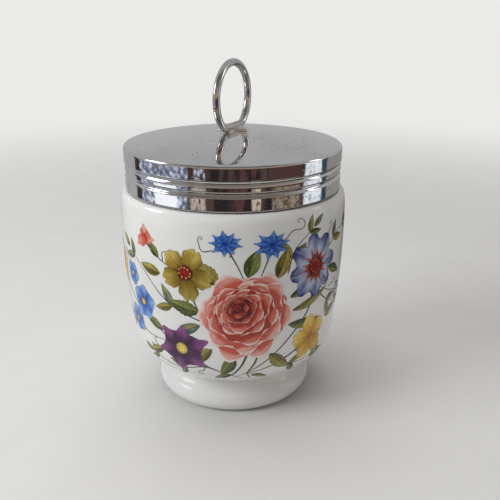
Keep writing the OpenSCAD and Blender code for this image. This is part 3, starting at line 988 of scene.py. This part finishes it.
BROWN = (ink(78, 52, 42), ink(112, 82, 64), ink(150, 120, 96), ink(70, 44, 36))
SUN = (ink(240, 214, 96), ink(196, 160, 60), ink(112, 80, 36))
EMBER = (ink(150, 40, 36), ink(112, 24, 26), ink(66, 14, 18))


def flower(sheet, at, petals, layer, turn, lean, squash, tones, length, width, seed, inset=0.0, jitter=4.0,
           vary=0.04, sun=None, **form):
    """A ring of petals round a middle, all seen at one slant; each starts inset from the middle. Where a
    side for the sun is given, petals on the far side of it are darker."""
    rng = np.random.default_rng(seed)
    for k in range(petals):
        scale = 1 + vary * rng.normal()
        aim = turn + 360 / petals * k + jitter * rng.normal()
        cast = 0 if sun is None else 0.20 * (1 - math.cos(math.radians(aim - sun)))
        flat, colour = petal(length * scale, width, tones, seed * 17 + k, cast=cast, **form)
        sheet.add(tilted(turned(flat + np.array([inset, 0]), aim), lean, squash) + np.asarray(at), colour,
                  layer + 1.3 * (k % 2) + 0.15 * k)


def eye(sheet, at, radius, layer, tones, squash=1.0, dots=9, dot=None):
    """A flower's middle: a shaded disc with an uneven ring of anther dots."""
    inner, outer, rim = tones
    if dot is None:
        dot = inner
    flat, colour = disc(radius, 10, lambda r, a: painted(
        inner, (outer, smooth(0.2, 0.85, r + 0.06 * np.sin(7 * a))), (rim, smooth(0.78, 1.0, r))))
    sheet.add(tilted(flat, 0, squash) + np.asarray(at), colour, layer)
    for k in range(dots):
        flat, colour = disc(radius * 0.15, 4, lambda r, a: blend(dot, rim, smooth(0.5, 1, r)))
        out = radius * (0.7 + 0.09 * math.sin(5.1 * k))
        where = turned(np.array([out, 0]), 360 / dots * k + 11 * math.sin(k))
        sheet.add(tilted(flat + where, 0, squash) + np.asarray(at), colour, layer + 0.8)


def leaves(sheet, rows):
    """Leaves from a list of (s, h, aim, length, width, bend, tones), laid in turn on five layers."""
    for k, (s, h, aim, length, width, bend, tones) in enumerate(rows):
        serrate = 0 if k % 3 else 0.2
        flat, colour = leaf(length, width, tones, 300 + 7 * k + round(s), bend, serrate)
        sheet.add(turned(flat, aim) + np.array([s, h]), colour, 1 + 0.9 * (k % 5))


def strands(sheet, rows, layer=0.0):
    """Stems from a list of (points, width)."""
    for k, (points, width) in enumerate(rows):
        sheet.add(*strand(curve(points), width, STEM), layer + 0.07 * k)


def tendrils(sheet, rows, rise):
    """Tendrils from a list of (start, aim, length, turns), each by rise above the last."""
    for k, row in enumerate(rows):
        sheet.add(*strand(tendril(*row), 0.3, BROWN, 0.5), 1.0 + rise * k)


def sprig(sheet, points, size, tones, layer):
    """A stem with two pairs of leaves and a leaf at its tip. They grow smaller towards the tip."""
    strands(sheet, [(points, 0.4)], layer)
    route = curve(points)
    count = len(route) - 1
    for k, (share, side) in enumerate(((0.30, -1), (0.30, 1), (0.88, -1), (0.88, 1), (1.0, 0))):
        i = min(round(share * count), count)
        ahead = route[i] - route[max(i - 3, 0)]
        aim = math.degrees(math.atan2(ahead[1], ahead[0])) + side * (44 + 6 * math.sin(3 * k))
        long = size * (1.15 - 0.4 * share) * (1 + 0.08 * math.sin(5 * k))
        seed = 500 + 11 * k + round(points[0][0] * 3)
        flat, colour = leaf(long, long * 0.40, tones[k % len(tones)], seed, -12 * side, rows=22, columns=15)
        sheet.add(turned(flat, aim) + route[i], colour, layer + 0.8 + 0.12 * k)


def big_bloom(sheet, at, radius, layer, turn=0.0, lean=128.0, squash=0.92, seed=5, sun=318.0):
    """Many-petalled bloom: seven rings of cupped petals, each smaller, deeper in colour and drawn to one
    side, so that the near petals hang wide and pale; every petal is shaded where the next ring hides it."""
    rings = (
        (6, 1.00, 1.10, CORAL_PALE, 0.7), (6, 0.86, 0.94, CORAL_PALE, 0.8), (5, 0.72, 0.90, CORAL, 0.8),
        (5, 0.58, 0.74, CORAL, 0.8), (5, 0.45, 0.58, CORAL, 0.7), (5, 0.32, 0.42, CORAL_DEEP, 0.45),
        (4, 0.20, 0.31, CORAL_DEEP, 0.0),
    )
    aside = radius * 0.34 * np.array([math.cos(math.radians(lean)), math.sin(math.radians(lean))])
    for k, (count, reach, wide, tones, lip) in enumerate(rings):
        inner = rings[k + 1][1] / reach if k + 1 < len(rings) else 0.4
        flower(sheet, at + aside * (1 - reach), count, layer + 3.2 * k, turn + 31 * k, lean, squash, tones,
               radius * reach, radius * wide, seed + k, tip=0.30, base=0.42, full=0.72, close=0.42,
               ruffle=0.012, shade=0.38, veins=5, lip=lip, hidden=inner - 0.12, sun=sun, ribs=0.16, rows=30,
               columns=25, jitter=6, vary=0.05)
    eye(sheet, at + aside * 0.9, radius * 0.08, layer + 24, EMBER, dots=5, dot=ink(196, 104, 70))


def front_spray():
    """The bouquet on the front: places are (s, h) in millimetres round and up the bowl."""
    stems = Sheet()
    strands(stems, (
        ([(5, 22), (3, 14), (0, 9), (-4, 5.5)], 0.95), ([(8, 20), (6, 13), (4, 9), (5.5, 5)], 0.8),
        ([(-15, 16), (-9, 12), (-2, 8.5), (3, 6)], 0.6),
        ([(22, 38), (22, 27), (15, 18), (8, 12), (1, 7.5)], 0.7),
        ([(23, 17), (17, 13.5), (10, 10.5), (3, 8.5)], 0.6), ([(-12, 38), (-10, 30), (-6, 22)], 0.6),
        ([(-28, 26), (-22, 20), (-12, 13), (-3, 9)], 0.5), ([(-33, 19), (-27, 17), (-20, 17)], 0.4),
        ([(-2, 46.5), (1, 41), (3, 36)], 0.5), ([(9.5, 45), (8, 41), (6, 36)], 0.5),
        ([(-24.6, 44.2), (-20, 41), (-14, 38)], 0.45), ([(-42, 34), (-35, 27), (-28, 22)], 0.5),
        ([(36, 27), (30, 29), (23, 33)], 0.4),
    ))
    tendrils(stems, (
        ((12.5, 47), 8, 15, 1.1), ((16, 44.5), -25, 12, -1.2), ((-5, 45), 158, 11, -1.2),
        ((-1, 43.5), 40, 8, 1.2), ((-19, 40.6), 62, 9, -1.1), ((30, 30), -18, 9, 1.2),
        ((15, 13), -12, 14, 1.1), ((-20, 15), 190, 12, -1.1), ((-33, 36), 120, 11, 1.2),
        ((28, 45), 40, 8, 1.2), ((-8, 11), 205, 9, 1.2), ((12, 12), -70, 7, 1.2),
    ), 0.07)
    stems.fire("print_stems_front")

    sprigs = Sheet()
    for points, size, tones, layer in (
        ([(14, 38), (16, 44), (22, 49)], 5.6, (GREEN, OLIVE), 0.4),
        ([(26, 29), (32, 25), (38, 24)], 5.6, (OLIVE, GREEN), 0.8),
        ([(12, 12), (20, 9.5), (28, 10)], 5.8, (GREEN, OLIVE), 1.2),
        ([(-9, 11), (-18, 9), (-27, 11.5)], 5.6, (OLIVE, GREEN), 0.4),
        ([(-8, 25), (-18, 29), (-26, 36), (-33, 41)], 6.4, (BLUE_GREEN, OLIVE, GREEN), 0.8),
        ([(-34, 22), (-40, 18), (-46, 18)], 5.4, (GREEN, OLIVE), 1.2),
        ([(27, 41), (33, 45), (40, 46)], 5.4, (OLIVE, BLUE_GREEN), 1.6),
    ):
        sprig(sprigs, points, size, tones, layer)
    sprigs.fire("print_sprigs_front")

    greens = Sheet()
    leaves(greens, (
        (-4, 36, 128, 8.5, 4.4, 16, OLIVE), (3.5, 38, 76, 8.0, 4.0, -16, GREEN),
        (11, 37, 62, 8.5, 3.8, 18, OLIVE), (15, 31, 20, 11.5, 3.0, -22, GREEN),
        (16, 27, 4, 13.5, 2.4, 26, OLIVE), (15, 23, -14, 12.0, 3.0, 20, GREEN),
        (10, 15, -50, 9.5, 3.8, 20, OLIVE), (0, 15, -112, 8.0, 3.8, -18, GREEN),
        (-6, 17, -146, 8.5, 3.4, 18, OLIVE), (-9, 28, 176, 9.0, 4.2, -18, GREEN),
        (-9, 24, 200, 9.5, 3.2, 18, BLUE_GREEN), (-20, 37, 178, 7.5, 3.2, -14, OLIVE),
        (-20.3, 41.2, 128, 5.6, 2.4, 12, GREEN), (-24.6, 44.2, 152, 3.2, 1.3, -10, GREEN),
        (-24.6, 44.2, 78, 3.2, 1.3, 10, OLIVE), (30, 21, 10, 8.0, 3.0, 16, GREEN),
        (27, 12, -40, 7.5, 2.8, -16, OLIVE), (29, 36, -18, 8.0, 2.8, -14, GREEN),
        (-21, 20, 150, 7.5, 2.8, 14, GREEN), (-22, 14, 205, 7.0, 2.6, -12, OLIVE),
        (-1, 8.5, 200, 6.0, 2.0, 14, GREEN), (5, 8, -16, 6.5, 2.0, -14, OLIVE),
    ))
    greens.fire("print_leaves_front")

    coral = Sheet()
    big_bloom(coral, (3.5, 26.5), 14.0, 5)
    flower(coral, (-25, 45.5), 3, 5, 112, 0, 1.0, CORAL, 4.6, 3.4, 61, tip=0.35, base=0.5, jitter=14,
           inset=-0.8)
    coral.fire("print_coral_bloom")

    purple, at = Sheet(), (-15, 16)
    flower(purple, at, 6, 6, 18, 100, 0.92, PURPLE, 8.6, 6.4, 21, tip=0.36, base=0.2, full=0.6, shade=0.5,
           veins=9, ribs=0.45)
    eye(purple, at, 1.9, 10, SUN, dot=ink(250, 240, 190))
    purple.fire("print_purple_flower")

    ochre, at = Sheet(), (-12.5, 38.5)
    flower(ochre, at, 5, 6, -12, 40, 0.92, OCHRE, 7.8, 5.9, 33, tip=0.16, notch=0.13, close=0.36, base=0.16,
           full=0.74, veins=9, ribs=0.5, shade=0.4, sun=100)
    eye(ochre, at, 2.2, 10, EMBER, dot=ink(226, 166, 76))
    at = (-42, 34)
    flower(ochre, at, 5, 6, 20, 0, 0.92, YELLOW, 6.6, 5.0, 36, tip=0.14, notch=0.12, shade=0.4, base=0.16,
           veins=9, ribs=0.4)
    eye(ochre, at, 2.0, 10, (ink(96, 60, 110), ink(62, 34, 76), ink(150, 96, 40)), dot=ink(236, 196, 96))
    ochre.fire("print_ochre_flowers")

    violet, at = Sheet(), (23, 38)
    flower(violet, at, 8, 6, 8, 0, 0.92, BLUE_RIMMED, 9.4, 6.0, 45, tip=0.10, close=0.42, full=0.62,
           shade=0.3, veins=5, ribs=0.4)
    flower(violet, at, 13, 9, 28, 0, 0.92, CORAL_DEEP, 5.4, 1.7, 52, tip=0.6, full=0.6, veins=1, rows=14,
           columns=9, jitter=3)
    eye(violet, at, 2.6, 14, EMBER, squash=0.92, dots=11, dot=ink(206, 92, 70))
    flower(violet, (37, 27), 3, 6, 8, 0, 1.0, BLUE_RIMMED, 3.6, 2.6, 58, tip=0.3, jitter=16, inset=-0.6)
    violet.fire("print_violet_flower")

    yellow, at = Sheet(), (23.5, 17)
    flower(yellow, at, 5, 6, 30, 0, 0.9, YELLOW, 7.2, 5.6, 71, tip=0.14, notch=0.12, shade=0.35, base=0.16,
           full=0.74, close=0.36, veins=9, ribs=0.4, sun=120)
    eye(yellow, at, 1.7, 10, (ink(196, 96, 30), ink(150, 62, 26), ink(236, 190, 80)), squash=0.9)
    yellow.fire("print_yellow_flower")

    blue = Sheet()
    round_ones = (((-28, 26.5), 5.2, 10), ((-33.5, 19.5), 4.4, 40), ((-32.5, 33.5), 3.6, 65))
    for k, (at, size, turn) in enumerate(round_ones):
        flower(blue, at, 5, 6 + 2 * k, turn, 0, 0.92, BLUE, size, size * 0.95, 81 + k, tip=0.1, shade=0.32,
               veins=5, rows=18, columns=15)
        eye(blue, at, size * 0.2, 9.5 + 2 * k, SUN, dots=5)
    for k, (at, size, turn) in enumerate((((-2, 47.0), 4.3, 20), ((9.5, 46.2), 5.0, 50))):
        flower(blue, at, 9, 6, turn, 90, 0.8, CORNFLOWER, size, size * 0.48, 91 + k, tip=0.5, shade=0.3,
               veins=3, rows=16, columns=11)
        flower(blue, at, 7, 9, turn + 20, 90, 0.8, CORNFLOWER, size * 0.55, size * 0.3, 96 + k, tip=0.5,
               veins=1, rows=12, columns=9)
    blue.fire("print_blue_flowers")


def back_spray():
    """A smaller sprig on the back, half way round from the middle of the bouquet."""
    half_way = math.pi * PRINT_R

    def at(s, h):
        return half_way + s, h

    stems, blooms = Sheet(), Sheet()
    strands(stems, (
        ([at(0, 28), at(2, 18), at(-1, 10), at(1, 5)], 0.55), ([at(10, 34), at(6, 24), at(1, 15)], 0.55),
        ([at(-10, 35), at(-6, 24), at(0, 14)], 0.55),
    ))
    tendrils(stems, ((at(9, 26), 10, 12, 1.1), (at(-8, 24), 165, 12, -1.1)), 0.1)
    sprig(stems, [at(2, 14), at(9, 11), at(15, 13)], 5.6, (GREEN, OLIVE), 0.4)
    sprig(stems, [at(0, 12), at(-8, 9), at(-15, 11)], 5.6, (OLIVE, GREEN), 0.8)
    leaves(stems, (
        (*at(4, 22), 26, 9.0, 3.6, 16, GREEN), (*at(-4, 21), 158, 9.0, 3.6, -16, OLIVE),
        (*at(3, 33), 66, 7.5, 3.0, 14, BLUE_GREEN), (*at(-4, 34), 112, 7.5, 3.0, -14, GREEN),
    ))
    stems.fire("print_stems_back")
    top, right, left = at(0, 28), at(10.5, 36), at(-10.5, 37)
    small = {"rows": 18, "columns": 15}
    flower(blooms, top, 6, 6, 10, 0, 0.92, PURPLE, 7.2, 5.8, 121, tip=0.42, full=0.55, shade=0.5, veins=5)
    eye(blooms, top, 1.6, 10, SUN, dot=ink(250, 240, 190))
    flower(blooms, right, 5, 6, 30, 0, 0.92, BLUE, 5.0, 4.8, 131, tip=0.1, veins=5, **small)
    eye(blooms, right, 1.0, 10, SUN, dots=5)
    flower(blooms, left, 5, 6, 50, 0, 0.92, CORAL, 5.0, 4.8, 141, tip=0.12, notch=0.14, **small)
    eye(blooms, left, 1.1, 10, EMBER, dots=5)
    blooms.fire("print_blooms_back")


front_spray()
back_spray()

# -------- floor, light and camera

BACKDROP = (0.83, 0.825, 0.815)
MIDDLE_Z = 45.0
scene = bpy.context.scene
scene.view_settings.view_transform = "Standard"


def floor_finish():
    """Pale floor that turns into the plain backdrop away from the object, for the camera and in
    reflections."""
    finish = Finish("pale_floor", Specular_IOR_Level=0.0)
    x, y, _ = finish.place()
    far = radius_of(x, y).step(140.0, 520.0)
    grain = finish.noise(0.05, 3)
    finish.set(Base_Color=finish.mix((0.725, 0.715, 0.70), (0.74, 0.73, 0.715), grain.step(0.3, 0.7)))
    glow = finish.node("Emission", Color=BACKDROP, Strength=1.0)
    ray = finish.node("LightPath").outputs
    seen = Sig(finish.tree, ray["Is Camera Ray"]).math("MAXIMUM", Sig(finish.tree, ray["Is Glossy Ray"]))
    mix = finish.node("MixShader")
    for entry, value in zip(mix.inputs, (far * seen, finish.shader.outputs[0], glow.outputs[0])):
        finish.put(entry, value)
    finish.put(finish.surface, mix.outputs[0])
    return finish.material


def make_floor(radius=3.0, rows=24, columns=96):
    """Round floor at z = 0: rings at growing radius round a flat middle."""
    r = radius * np.linspace(0.02, 1, rows)[:, None] ** 2 / MM
    a = np.arange(columns) * 2 * np.pi / columns
    faces = grid_faces(rows, columns, False, True)[:, ::-1].tolist() + [list(range(columns))]
    floor = mesh_object("floor", coords(r * np.cos(a), r * np.sin(a), 0), faces)
    floor.data.materials.append(floor_finish())


def make_world():
    """Pale surroundings: soft as light, brighter in reflections and the plain backdrop for the camera."""
    world = bpy.data.worlds.new("studio")
    scene.world = world
    world.use_nodes = True
    nodes, links = world.node_tree.nodes, world.node_tree.links
    ray = nodes.new("ShaderNodeLightPath").outputs
    shader = None
    for seen_by, tint, strength in (
        (None, (0.80, 0.81, 0.82), 0.25), ("Is Glossy Ray", (0.86, 0.85, 0.84), 0.62),
        ("Is Camera Ray", BACKDROP, 1.0),
    ):
        glow = nodes.new("ShaderNodeBackground") if seen_by else nodes["Background"]
        glow.inputs["Color"].default_value = (*tint, 1)
        glow.inputs["Strength"].default_value = strength
        if seen_by:
            mix = nodes.new("ShaderNodeMixShader")
            for entry, source in zip(mix.inputs, (ray[seen_by], shader.outputs[0], glow.outputs[0])):
                links.new(source, entry)
            glow = mix
        shader = glow
    links.new(shader.outputs[0], nodes["World Output"].inputs["Surface"])


def softbox(name, place, size, power, colour):
    """Area lamp that faces the middle of the cup. Reflections see the room instead of it."""
    data = bpy.data.lights.new(name, "AREA")
    data.shape = "RECTANGLE"
    data.size, data.size_y = size
    data.energy = power
    data.color = colour
    lamp = bpy.data.objects.new(name, data)
    lamp.location = place
    aim = Vector((0, 0, MIDDLE_Z * MM)) - Vector(place)
    lamp.rotation_euler = aim.to_track_quat("-Z", "Y").to_euler()
    lamp.visible_glossy = False
    bpy.context.collection.objects.link(lamp)


def room_finish():
    """What reflections see, by bearing with the front at 0 degrees: light and dark panels on a wall, a dark
    ground that pales towards the cup, and a grey ceiling that turns brown and dark high in front, with a
    bright pane high on the left and a dimmer one on the right. The skirt's top band reflects what stands
    above eye_z on the wall, and its lower bands what stands below."""
    finish = Finish("room_panels")
    x, y, z = finish.place()
    bearing = x.math("ARCTAN2", y * -1.0) * (180 / math.pi)
    patchy = finish.noise(0.035, 4)
    fine = finish.noise(0.065, 4, stretch=(1, 1, 8))
    turn = bearing + (patchy - 0.5) * 12
    eye_z = 16.0
    low = z.step(eye_z + 1.5, eye_z - 1.5)
    high = z.step(eye_z - 1.5, eye_z + 1.5)

    def panel(start, end, edge=1.5, over=turn):
        return over.step(start - edge, start + edge) * over.step(end + edge, end - edge)

    cloud = finish.noise(0.008, 2)
    pale = finish.mix((0.41, 0.41, 0.42), (0.47, 0.47, 0.47), cloud.step(0.3, 0.7))
    dim = bearing.step(100, 106) * bearing.step(176, 150) * z.step(75, 55)
    dark = finish.mix((0.028, 0.022, 0.023), (0.095, 0.062, 0.056), patchy.step(0.4, 0.6))
    window = finish.mix((0.11, 0.11, 0.165), (0.86, 0.96, 1.15), fine.step(0.45, 0.63))
    hazy = finish.mix((0.42, 0.48, 0.52), (1.00, 1.06, 1.12), fine.step(0.34, 0.50))
    wall = finish.coats(
        pale,
        ((0.30, 0.285, 0.27), dim),
        (dark, panel(-114, 106)),
        (window, panel(-104, -44)),
        ((1.25, 1.28, 1.32), panel(-84, -57) * low),
        ((0.60, 0.50, 0.44), panel(-42, -26) * low * fine.step(0.36, 0.46)),
        ((0.70, 0.72, 0.85), panel(-37, -27) * high * fine.step(0.50, 0.58)),
        ((0.115, 0.050, 0.050), panel(4, 26) * patchy.step(0.42, 0.56)),
        ((0.72, 0.60, 0.46), panel(16, 26) * low * fine.step(0.36, 0.46)),
        ((0.36, 0.29, 0.22), panel(37, 68) * low * fine.step(0.36, 0.54)),
        ((0.085, 0.046, 0.042), panel(37, 68) * high),
        (hazy, panel(73, 97)),
        ((0.035, 0.080, 0.125), panel(97, 104)),
    )
    front = bearing.math("ABSOLUTE").step(95, 55)
    brown = finish.coats((0.50, 0.34, 0.22), ((0.27, 0.255, 0.24), z.step(125, 150)),
                         ((0.15, 0.137, 0.127), z.step(210, 250)))
    ceiling = finish.mix(pale, brown, front * z.step(326, 312))
    pane = z.step(126, 130) * z.step(214, 210) * (z - 168).math("ABSOLUTE").step(1.5, 2.5)
    ground = finish.coats((0.10, 0.085, 0.07), (pale, bearing.step(-80, -110) * bearing.step(-180, -150)))
    ground = finish.mix((0.50, 0.49, 0.48), ground, radius_of(x, y).step(60, 110))
    above = finish.coats(
        wall,
        (ceiling, z.step(80, 102)),
        ((5.2, 5.35, 5.6), pane * panel(-96, -74, 0.5, bearing)),
        ((3.2, 3.1, 2.95), pane * panel(88, 98, 0.5, bearing)),
    )
    colour = finish.mix(ground, above, z.step(0.55, 0.65))
    finish.put(finish.surface, finish.node("Emission", Color=colour, Strength=1.0).outputs[0])
    return finish.material


def make_room(hole=55.0, radius=225.0, wall=150.0, height=330.0, steps=240):
    """Room that only reflections see, turned round the Z axis: a ground with a hole round the cup, a wall
    and a quarter ellipse over it."""
    a = np.arange(steps) * 2 * np.pi / steps
    t = np.radians(np.linspace(0, 89.5, 24))[1:]
    dome = coords(radius * np.cos(t), wall + (height - wall) * np.sin(t))
    ground, side = line((hole, 0.5), (radius, 0.5), 8), line((radius, 0.7), (radius, wall), 4)
    profile = np.concatenate([ground, side, dome])
    r, z = profile[:, :1], profile[:, 1:]
    points = coords(r * np.cos(a), r * np.sin(a), z)
    room = mesh_object("room", points, grid_faces(len(profile), steps, False, True).tolist())
    room.data.materials.append(room_finish())
    room.visible_camera = room.visible_diffuse = room.visible_shadow = room.visible_transmission = False


def make_camera():
    """The photograph's view: its focal length in pixels, its place and its slight turn and roll in
    radians."""
    focal_px, image_px, sensor = 700.0, 500.0, 36.0
    pitch, yaw, roll = 0.346, 0.025, 0.003
    place = (0, -0.19192, 0.11014)
    data = bpy.data.cameras.new("camera")
    data.sensor_width = sensor
    data.lens = sensor * focal_px / image_px
    data.clip_start = 0.01
    camera = bpy.data.objects.new("camera", data)
    ahead = Vector((math.sin(yaw) * math.cos(pitch), math.cos(yaw) * math.cos(pitch), -math.sin(pitch)))
    right = Vector((math.cos(yaw), -math.sin(yaw), 0))
    up = right.cross(ahead)
    right, up = (right * math.cos(roll) + up * math.sin(roll), up * math.cos(roll) - right * math.sin(roll))
    turn = Matrix((right, up, -ahead)).transposed().to_4x4()
    camera.matrix_world = Matrix.Translation(place) @ turn
    bpy.context.collection.objects.link(camera)
    scene.camera = camera


make_floor()
make_world()
make_room()
softbox("key_left", (-0.48, -0.20, 0.34), (0.30, 0.30), 2.0, (0.95, 0.98, 1.0))
softbox("top", (-0.05, 0.08, 0.62), (0.50, 0.50), 2.05, (1.0, 1.0, 1.0))
softbox("fill_right", (0.50, -0.18, 0.22), (0.30, 0.30), 0.16, (1.0, 0.88, 0.76))
make_camera()
